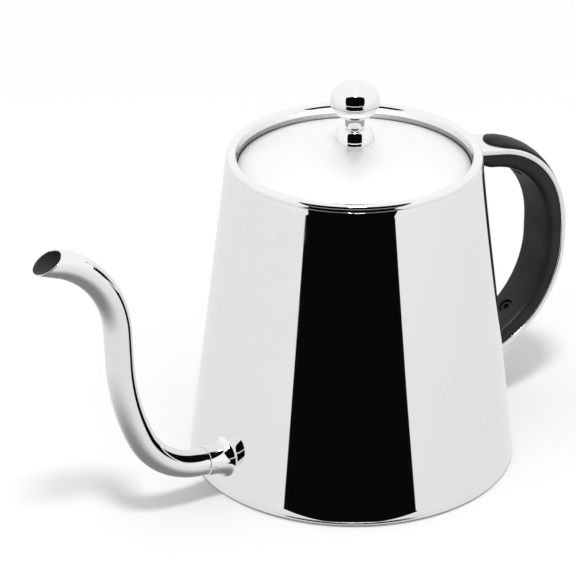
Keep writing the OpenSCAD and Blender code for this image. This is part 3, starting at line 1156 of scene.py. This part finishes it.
@dataclass(frozen=True)
class Handle:
    """The strap, its two plates on the wall, both grips and their screws."""

    cone: Cone
    drop: float = 10.8 * MM
    low_z: float = 22.2 * MM
    reach: float = 47.5 * MM
    strap_w: float = 18 * MM
    strap_t: float = 2.2 * MM
    plate_w: float = 22 * MM
    plate_h: float = 16 * MM
    plate_t: float = 1.2 * MM
    plate_round: float = 4 * MM
    inner_w: float = 17 * MM
    inner_t: float = 6 * MM
    inner_end_t: float = 3 * MM
    inner_thin_l: float = 11 * MM
    inner_gap: float = 1.5 * MM
    outer_w: float = 13.5 * MM
    outer_t: float = 2.6 * MM
    outer_edge_t: float = 1.0 * MM
    outer_gap: float = 14 * MM
    outer_low_gap: float = 7 * MM
    screw_r: float = 1.5 * MM
    head_r: float = 2.8 * MM
    head_h: float = 1.8 * MM
    head_sunk: float = 0.6 * MM
    head_room: float = 0.1 * MM
    screw_angles: tuple[float, float] = (math.radians(48), math.radians(-54))
    spacing: float = 1.6 * MM

    @property
    def line(self) -> StrapLine:
        """The strap's middle line."""
        top_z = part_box("rim_ring")[1].z - self.drop
        start = Vector((self.cone.radius(top_z), 0, top_z))
        low = Vector((self.cone.radius(self.low_z), 0, self.low_z))
        return StrapLine(start, low, start.x + self.reach)

    def landed(self, ring: Sequence[Vector], axis: Vector, out: float) -> list[Vector]:
        """Moves a ring along an axis on to the cone that lies a distance outside the wall."""
        return [self.cone.landing(point, axis, out) for point in ring]

    def strap(self) -> bpy.types.Object:
        """Makes the strap, which ends on its plates."""
        line = self.line
        w, t, r = self.strap_w / 2, self.strap_t / 2, 0.55 * MM
        section = outline([Corner(-w, -t, r), Corner(w, -t, r), Corner(w, t, r), Corner(-w, t, r)])
        count = round(line.length / self.spacing)
        first, last = 5 * MM, line.length - 5 * MM
        rings = []
        for i in range(count + 1):
            at = line.at(first + (last - first) * i / count)
            rings.append([at @ Vector((0, p.x, p.y)) for p in section])
        top_axis = line.at(0).col[0].to_3d()
        low_axis = line.at(line.length).col[0].to_3d()
        rings.insert(0, self.landed(rings[0], top_axis, self.plate_t - SINK))
        rings.append(self.landed(rings[-1], low_axis, self.plate_t - SINK))
        return skin("strap_band", rings, Ends.CAPPED)

    def plate(self, name: str, z: float) -> bpy.types.Object:
        """Makes a plate that lies on the wall.

        Args:
            name: Name of the piece.
            z: Height of its middle.

        Returns:
            The plate.
        """
        w, h, r = self.plate_w / 2, self.plate_h / 2, self.plate_round
        around = outline([Corner(-w, -h, r), Corner(w, -h, r), Corner(w, h, r), Corner(-w, h, r)], 8)
        around = divided(around, self.spacing)
        edge_r = 0.5 * MM
        levels = [(0.0, -SINK), (0.5, -SINK), (1.0, -SINK)]
        for i in range(7):
            angle = math.pi / 2 * i / 6
            share = 1 - edge_r * (1 - math.cos(angle)) / h
            levels.append((share, self.plate_t - edge_r * (1 - math.sin(angle))))
        levels += [(share, self.plate_t) for share in (0.75, 0.5, 0.25, 0.0)]
        rings = []
        for share, out in levels:
            ring = []
            for point in around:
                across, up = point.x * share, z + point.y * share
                depth = math.sqrt(self.cone.radius(up, out) ** 2 - across**2)
                ring.append(Vector((depth, across, up)))
            rings.append(ring)
        return skin(name, rings, Ends.POINTS)

    def inner_section(self, thickness: float, inset: float) -> Section:
        """Draws the inner grip's section.

        Args:
            thickness: Thickness of the grip there.
            inset: How far the free faces draw in, at a rounded end.

        Returns:
            Points of distance across the strap and distance outwards from its middle.
        """
        w = self.inner_w / 2 - inset
        face = -self.strap_t / 2
        far = face - thickness + inset
        crown = 0.5 * MM
        return outline(
            [
                Corner(-w, face, 0.3 * MM),
                Corner(-w, far + crown, 2.4 * MM),
                Corner(-w / 2, far + crown / 4),
                Corner(0, far),
                Corner(w / 2, far + crown / 4),
                Corner(w, far + crown, 2.4 * MM),
                Corner(w, face, 0.3 * MM),
            ],
            8,
        )

    def inner_grip(self) -> bpy.types.Object:
        """Makes the grip on the hand's side, thinner at its ends, with sunk screw holes."""
        line = self.line
        begin = self.plate_t + self.inner_gap
        first, last = begin + 3 * MM, line.length - begin - 3 * MM
        count = round((last - first) / self.spacing)
        rings = []
        for i in range(count + 1):
            along = first + (last - first) * i / count
            from_end = min(along, line.length - along) - begin
            share = min(1.0, from_end / self.inner_thin_l)
            eased = share * share * (3 - 2 * share)
            thickness = self.inner_end_t + (self.inner_t - self.inner_end_t) * eased
            section = self.inner_section(thickness, 0)
            rings.append([line.at(along) @ Vector((0, p.x, p.y)) for p in section])
        ends = []
        for along in (first, last):
            axis = line.at(along).col[0].to_3d()
            closing = []
            for i in range(5):
                angle = math.pi / 2 * i / 4
                inset = 0.9 * MM * (1 - math.cos(angle))
                section = self.inner_section(self.inner_end_t + 0.02 * MM, inset)
                ring = [line.at(along) @ Vector((0, p.x, p.y)) for p in section]
                out = begin + 0.9 * MM * (1 - math.sin(angle))
                closing.append(self.landed(ring, axis, out))
            ends.append(closing)
        rings = [*reversed(ends[0]), *rings, *ends[1]]
        piece = skin("hand_grip", rings, Ends.CAPPED)
        for at in self.screw_frames():
            outward = at.col[2].to_3d()
            start = at.translation - outward * (self.strap_t / 2 + self.inner_t + self.head_h)
            depth = 2 * self.head_h + self.head_sunk
            cut(piece, rod(start, outward, depth, self.head_r + self.head_room, 64))
        return piece

    def outer_grip(self) -> bpy.types.Object:
        """Makes the grip on the back of the strap, crowned, with a round nose at each end."""
        line = self.line
        nose = self.outer_w / 2
        lean = self.cone.lean
        first = self.outer_gap / math.cos(line.top_slope + lean)
        last = line.length - self.outer_low_gap / math.cos(line.low_slope - lean)
        count = round((last - first - 2 * nose) / self.spacing)
        stops = [nose * (1 - math.cos(math.pi / 2 * i / 14)) for i in range(1, 15)]
        places = [first + stop for stop in stops]
        places += [first + nose + (last - first - 2 * nose) * i / count for i in range(1, count)]
        places += [last - stop for stop in reversed(stops)]
        rings = []
        for along in places:
            from_end = min(nose, along - first, last - along)
            share = math.sqrt(1 - (1 - from_end / nose) ** 2)
            w = nose * share
            base = self.strap_t / 2 - SINK
            edge = base + self.outer_edge_t * (0.35 + 0.65 * share)
            crown = (self.outer_t - self.outer_edge_t) * share
            section = outline(
                [
                    Corner(-w, base, 0.1 * MM),
                    Corner(w, base, 0.1 * MM),
                    Corner(w, edge, 0.6 * MM),
                    Corner(w * 0.66, edge + crown * 0.56),
                    Corner(w * 0.33, edge + crown * 0.89),
                    Corner(0, edge + crown),
                    Corner(-w * 0.33, edge + crown * 0.89),
                    Corner(-w * 0.66, edge + crown * 0.56),
                    Corner(-w, edge, 0.6 * MM),
                ],
                6,
            )
            rings.append([line.at(along) @ Vector((0, p.x, p.y)) for p in section])
        return skin("back_grip", rings, Ends.CAPPED)

    def screw_frames(self) -> list[Matrix]:
        """The strap line's frames at the two screws."""
        line = self.line
        upper, lower = line.bends
        return [
            line.framed(upper if angle > 0 else lower, angle, 0) for angle in self.screw_angles
        ]

    def screws(self) -> bpy.types.Object:
        """Makes both screws, with domed heads and six-sided sockets."""
        shank_l = self.inner_t - self.head_sunk + self.strap_t + 1.4 * MM
        profile = outline(
            [
                Corner(0, 0),
                Corner(self.head_r, 0, 0.7 * MM),
                Corner(self.head_r, self.head_h, 0.15 * MM),
                Corner(self.screw_r, self.head_h, 0.1 * MM),
                Corner(self.screw_r, shank_l, 0.3 * MM),
                Corner(0, shank_l),
            ]
        )
        made = []
        for at in self.screw_frames():
            head = at @ Matrix.Translation((0, 0, -self.strap_t / 2 - self.inner_t + self.head_sunk))
            screw = lathe("screw", profile, head)
            outward = at.col[2].to_3d()
            start = head.translation - outward * MM
            cut(screw, rod(start, outward, 2.1 * MM, 1.45 * MM, 6))
            made.append(screw)
        return joined("socket_screws", made)

    def build(self) -> None:
        """Makes, dresses and fits the pieces."""
        top_z = self.line.start.z
        for name, z, node in (
            ("upper_wall_plate", top_z, "upper_plate"),
            ("lower_wall_plate", self.low_z, "lower_plate"),
        ):
            plate = self.plate(name, z)
            dressed(plate, STRIP)
            fitted(plate, Rider.KETTLE, Slot.STRAP, node)
        for piece, finish, slot, node in (
            (self.strap(), STRIP, Slot.STRAP, "handle_strap"),
            (self.inner_grip(), RESIN, Slot.GRIP, "inner_grip"),
            (self.outer_grip(), RESIN, Slot.GRIP, "outer_grip"),
            (self.screws(), BLACKENED, Slot.SCREW_BLACK, "grip_screws"),
        ):
            dressed(piece, finish)
            fitted(piece, Rider.KETTLE, slot, node)


# ---- Lid ----


@dataclass(frozen=True)
class Lid:
    """The domed cap, its sleeve, and the knob with its screw and washer."""

    sheet: float = 0.8 * MM
    edge_h: float = 1.6 * MM
    dome_rise: float = 8.8 * MM
    hole_r: float = 2.1 * MM
    notch_w: float = 9 * MM
    notch_h: float = 5 * MM
    foot_r: float = 7.6 * MM
    foot_h: float = 7.2 * MM
    neck_r: float = 3.6 * MM
    screw_r: float = 2 * MM

    @property
    def radius(self) -> float:
        """Radius of the cap's edge."""
        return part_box("lid_cap")[1].x

    @property
    def edge_z(self) -> float:
        """Height at which the dome meets the edge."""
        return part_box("lid_cap")[0].z + self.edge_h

    @property
    def dome_r(self) -> float:
        """Radius of the dome's sphere."""
        return (self.radius**2 + self.dome_rise**2) / (2 * self.dome_rise)

    def dome_z(self, out: float, below: float = 0.0) -> float:
        """Height of the dome.

        Args:
            out: Distance from the axis.
            below: How far inside the dome's outer face.

        Returns:
            The height there.
        """
        centre = self.edge_z + self.dome_rise - self.dome_r
        return centre + math.sqrt((self.dome_r - below) ** 2 - out**2)

    def cap(self) -> bpy.types.Object:
        """Makes the cap: a dome with a turned-down edge."""
        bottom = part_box("lid_cap")[0].z
        inner_r = self.radius - self.sheet
        steps = 40
        outs = [self.hole_r + (self.radius - self.hole_r) * i / steps for i in range(steps)]
        over = [Corner(out, self.dome_z(out)) for out in outs]
        under = [Corner(out, self.dome_z(out, self.sheet)) for out in outs if out < inner_r]
        around = outline(
            [
                *over,
                Corner(self.radius, self.edge_z, 0.5 * MM),
                Corner(self.radius, bottom, 0.25 * MM),
                Corner(inner_r, bottom, 0.25 * MM),
                Corner(inner_r, self.dome_z(inner_r, self.sheet), 0.2 * MM),
                *reversed(under),
            ]
        )
        return lathe("domed_cap", around)

    def sleeve(self) -> bpy.types.Object:
        """Makes the sleeve under the cap, with a steam notch over the spout."""
        low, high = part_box("lid_skirt")
        outer, inner = high.x, high.x - self.sheet
        around = outline(
            [
                Corner(inner, low.z, 0.25 * MM),
                Corner(outer, low.z, 0.25 * MM),
                Corner(outer, self.dome_z(outer, self.sheet)),
                Corner(inner, self.dome_z(inner, self.sheet)),
            ]
        )
        piece = lathe("lid_sleeve", divided(around, 1.5 * MM))
        w, top = self.notch_w / 2, low.z + self.notch_h
        notch = outline(
            [
                Corner(-w, low.z - MM),
                Corner(w, low.z - MM),
                Corner(w, top, 1.5 * MM),
                Corner(-w, top, 1.5 * MM),
            ]
        )
        rings = [[Vector((x, p.x, p.y)) for p in notch] for x in (-outer - MM, -inner + 2 * MM)]
        cut(piece, skin("cutter", rings, Ends.CAPPED))
        return piece

    def bell(self) -> bpy.types.Object:
        """Makes the knob's bell-shaped foot and its neck."""
        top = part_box("knob_foot")[1].z
        start = self.edge_z + self.dome_rise
        steps = 20
        bell = []
        for i in range(steps):
            angle = math.pi / 2 * i / steps
            out = self.neck_r + (self.foot_r - self.neck_r) * math.cos(angle)
            bell.append(Corner(out, start + self.foot_h * math.sin(angle)))
        around = outline(
            [
                Corner(self.hole_r, self.dome_z(self.hole_r) - SINK),
                Corner(self.foot_r, self.dome_z(self.foot_r) - SINK),
                *bell,
                Corner(self.neck_r, start + self.foot_h, 0.15 * MM),
                Corner(self.neck_r, top),
                Corner(self.hole_r, top),
            ]
        )
        return lathe("knob_bell", around)

    def ball(self) -> bpy.types.Object:
        """Makes the ball, a little wider than it is high, with a flat where the neck meets it."""
        low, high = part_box("knob_ball")
        wide = high.x
        tall = (high.z - low.z) / (1 + math.sqrt(1 - (self.neck_r / wide) ** 2))
        middle = high.z - tall
        start = math.asin((low.z - middle) / tall)
        steps = 96
        around = [Vector((0, low.z)), Vector((self.neck_r * 0.98, low.z))]
        for i in range(steps + 1):
            angle = start + (math.pi / 2 - start) * i / steps
            around.append(Vector((wide * math.cos(angle), middle + tall * math.sin(angle))))
        return lathe("polished_knob", around)

    def washer(self) -> bpy.types.Object:
        """Makes the washer under the dome."""
        low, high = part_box("knob_washer")
        corners = [(self.hole_r, low.z), (high.x, low.z), (high.x, high.z), (self.hole_r, high.z)]
        around = outline([Corner(x, z, 0.2 * MM) for x, z in corners])
        return lathe("knob_washer_ring", around)

    def screw(self) -> bpy.types.Object:
        """Makes the knob's screw, with a slot across its head."""
        low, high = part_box("knob_screw")
        head_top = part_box("knob_washer")[0].z
        around = outline(
            [
                Corner(0, low.z),
                Corner(high.x, low.z, 0.7 * MM),
                Corner(high.x, head_top, 0.15 * MM),
                Corner(self.screw_r, head_top, 0.1 * MM),
                Corner(self.screw_r, high.z, 0.4 * MM),
                Corner(0, high.z),
            ]
        )
        piece = lathe("slotted_screw", around)
        half = 0.5 * MM
        reach = high.x + MM
        slot = [(-half, -MM), (half, -MM), (half, MM), (-half, MM)]
        rings = [[Vector((x, y, low.z + z)) for y, z in slot] for x in (-reach, reach)]
        cut(piece, skin("cutter", rings, Ends.CAPPED))
        return piece

    def build(self) -> None:
        """Makes, dresses and fits the pieces."""
        cap = self.cap()
        dressed(cap, SATIN)
        dressed_where(cap, INSIDE, lambda centre, normal: normal.z < -0.5)
        fitted(cap, Rider.LID, Slot.POLISHED, "lid_cap")
        sleeve = self.sleeve()
        dressed(sleeve, STRIP)
        dressed_where(sleeve, INSIDE, faces_axis)
        fitted(sleeve, Rider.LID, Slot.POLISHED, "lid_skirt")
        for piece, finish, slot, node in (
            (self.bell(), MIRROR, Slot.POLISHED, "knob_foot"),
            (self.ball(), MIRROR, Slot.POLISHED, "knob_ball"),
            (self.screw(), SCREW, Slot.SCREW, "knob_screw"),
            (self.washer(), SCREW, Slot.SCREW, "knob_washer"),
        ):
            dressed(piece, finish)
            fitted(piece, Rider.LID, slot, node)


# ---- Studio ----


@dataclass(frozen=True)
class Flag:
    """A black flag that the polished steel mirrors as a dark band. The camera looks through it.

    Attributes:
        distance: Distance of the flag from the kettle.
        panels: Panels as lists of height, reach to the left and reach to the right, all in shares
            of the distance.
    """

    distance: float = 1.0
    panels: tuple[tuple[tuple[float, float, float], ...], ...] = (
        ((-1.32, 1.62, 1.47), (-0.98, 1.31, 1.075), (-0.8, 1.144, 0.88), (-0.7, 1.0, 0.77),
         (-0.34, 0.9, 0.86)),
        ((-0.26, 0.9, 0.86), (0.9, 0.9, 0.9)),
    )


@dataclass(frozen=True)
class Studio:
    """The floor, the soft light, the black flag and the camera.

    Attributes:
        azimuth: Side that the camera looks from, in radians; 0 looks along +Y.
        elevation: Height of the camera's line of sight, in radians.
        distance: Distance of the camera from the middle of the base, along that line.
        aside: Shift of the camera to the left.
        above: Shift of the camera upwards.
        lens: Focal length in millimetres.
        floor_r: Radius of the flat part of the floor.
        cove_r: Radius of the floor's curve up into the backdrop.
        cove_h: Height of the backdrop.
        softbox: Side of the square softbox.
        softbox_at: Place of the softbox, which faces the middle of the base.
        softbox_power: Power of the softbox in watts.
        flag: The black flag.
    """

    azimuth: float = math.radians(-36)
    elevation: float = math.radians(26.88)
    distance: float = 1.23465
    aside: float = 0.02449
    above: float = 0.06039
    lens: float = 200.0
    floor_r: float = 2.4
    cove_r: float = 0.8
    cove_h: float = 2.2
    softbox: float = 0.5
    softbox_at: tuple[float, float, float] = (-0.615, -0.985, 3.0)
    softbox_power: float = 62.0
    flag: Flag = field(default_factory=Flag)

    @property
    def turn(self) -> Matrix:
        """The camera's axes: to the right, up, and back towards it."""
        e = self.elevation
        back = Vector((0, -math.cos(e), math.sin(e)))
        up = Vector((0, math.sin(e), math.cos(e)))
        axes = Matrix((Vector((1, 0, 0)), up, back)).transposed()
        return Matrix.Rotation(self.azimuth, 3, "Z") @ axes

    def camera(self) -> None:
        """Makes the camera."""
        data = bpy.data.cameras.new("camera")
        data.lens = self.lens
        data.sensor_width = 36.0
        data.clip_end = 20.0
        camera = bpy.data.objects.new("camera", data)
        place = self.turn @ Vector((-self.aside, self.above, self.distance))
        camera.matrix_world = Matrix.Translation(place) @ self.turn.to_4x4()
        bpy.context.scene.collection.objects.link(camera)
        bpy.context.scene.camera = camera

    def floor(self) -> None:
        """Makes the floor, which curves up all round into a backdrop."""
        profile = [Vector((0, 0))]
        profile += [Vector((self.floor_r * i / 24, 0)) for i in range(1, 25)]
        centre = Vector((self.floor_r, self.cove_r))
        profile += arc(centre, Vector((0, -self.cove_r)), math.pi / 2, 16)[1:]
        profile.append(Vector((self.floor_r + self.cove_r, self.cove_h)))
        sides = 96
        turns = [math.tau * i / sides for i in range(sides)]
        rings = [[Vector((p.x * math.cos(a), p.x * math.sin(a), p.y)) for a in turns] for p in profile]
        floor = skin("floor", rings, Ends.POINTS)
        material = bpy.data.materials.new("pale_floor")
        material.use_nodes = True
        graph = Graph(material.node_tree)
        clouds = graph.noise(graph.place(), 5.0, 3.0).between(0.2, 0.8)
        paint = graph.mixed(clouds, (0.64, 0.64, 0.64), (0.66, 0.66, 0.657))
        surface = graph.node("ShaderNodeBsdfDiffuse", inputs={"Color": paint})
        graph.node("ShaderNodeOutputMaterial", inputs={"Surface": surface})
        floor.data.materials.append(material)
        # Not physical: it keeps the floor's image and its bounced light off the kettle.
        floor.visible_glossy = False
        floor.visible_diffuse = False

    def dark_flag(self) -> None:
        """Makes the flag, square to the camera's line of sight."""
        material = bpy.data.materials.new("black_flag")
        material.use_nodes = True
        graph = Graph(material.node_tree)
        cloth = graph.node("ShaderNodeBsdfDiffuse", inputs={"Color": (0.004, 0.004, 0.004, 1.0)})
        graph.node("ShaderNodeOutputMaterial", inputs={"Surface": cloth})
        made = bmesh.new()
        for panel in self.flag.panels:
            right = [Vector((reach, height, 1.0)) for height, _, reach in panel]
            left = [Vector((-reach, height, 1.0)) for height, reach, _ in reversed(panel)]
            corners = [self.turn @ (point * self.flag.distance) for point in right + left]
            made.faces.new([made.verts.new(corner) for corner in corners])
        mesh = bpy.data.meshes.new("black_flag")
        made.to_mesh(mesh)
        made.free()
        mesh.materials.append(material)
        flag = bpy.data.objects.new("black_flag", mesh)
        bpy.context.scene.collection.objects.link(flag)
        flag.visible_camera = False
        flag.visible_diffuse = False
        flag.visible_shadow = False

    def lights(self) -> None:
        """Makes the softbox overhead and the white room round it."""
        data = bpy.data.lights.new("softbox", "AREA")
        data.shape = "SQUARE"
        data.size = self.softbox
        data.energy = self.softbox_power
        softbox = bpy.data.objects.new("softbox", data)
        place = Vector(self.softbox_at)
        softbox.matrix_world = Matrix.Translation(place) @ (
            place.to_track_quat("Z", "Y").to_matrix().to_4x4()
        )
        bpy.context.scene.collection.objects.link(softbox)
        world = bpy.data.worlds.new("white_room")
        bpy.context.scene.world = world
        world.use_nodes = True
        graph = Graph(world.node_tree)
        heading = graph.node("ShaderNodeTexCoord", output="Generated")
        height = graph.node("ShaderNodeSeparateXYZ", inputs={0: heading}, output="Z")
        rise = height.between(-0.6, 0.35)
        shade = graph.mixed(rise, (0.85, 0.852, 0.86), (1.08, 1.08, 1.075))
        strength = height.between(-0.95, -0.5) * 0.7 + 0.3
        room = graph.node("ShaderNodeBackground", inputs={"Color": shade, "Strength": strength})
        graph.node("ShaderNodeOutputWorld", inputs={"Surface": room})

    def build(self) -> None:
        """Makes the whole studio."""
        bpy.context.scene.view_settings.view_transform = "Standard"
        self.camera()
        self.floor()
        self.dark_flag()
        self.lights()
        log.info("studio: floor, flag, softbox and camera")


def main() -> None:
    """Builds the kettle and its studio."""
    logging.basicConfig(level=logging.INFO, format="%(name)s: %(message)s", force=True)
    Studio().build()
    cone = Cone.from_frame()
    body = Body(cone)
    spout = Spout(cone, body.sheet)
    body.build(spout.hole())
    spout.build()
    Handle(cone).build()
    Lid().build()


if __name__ == "__main__":
    main()
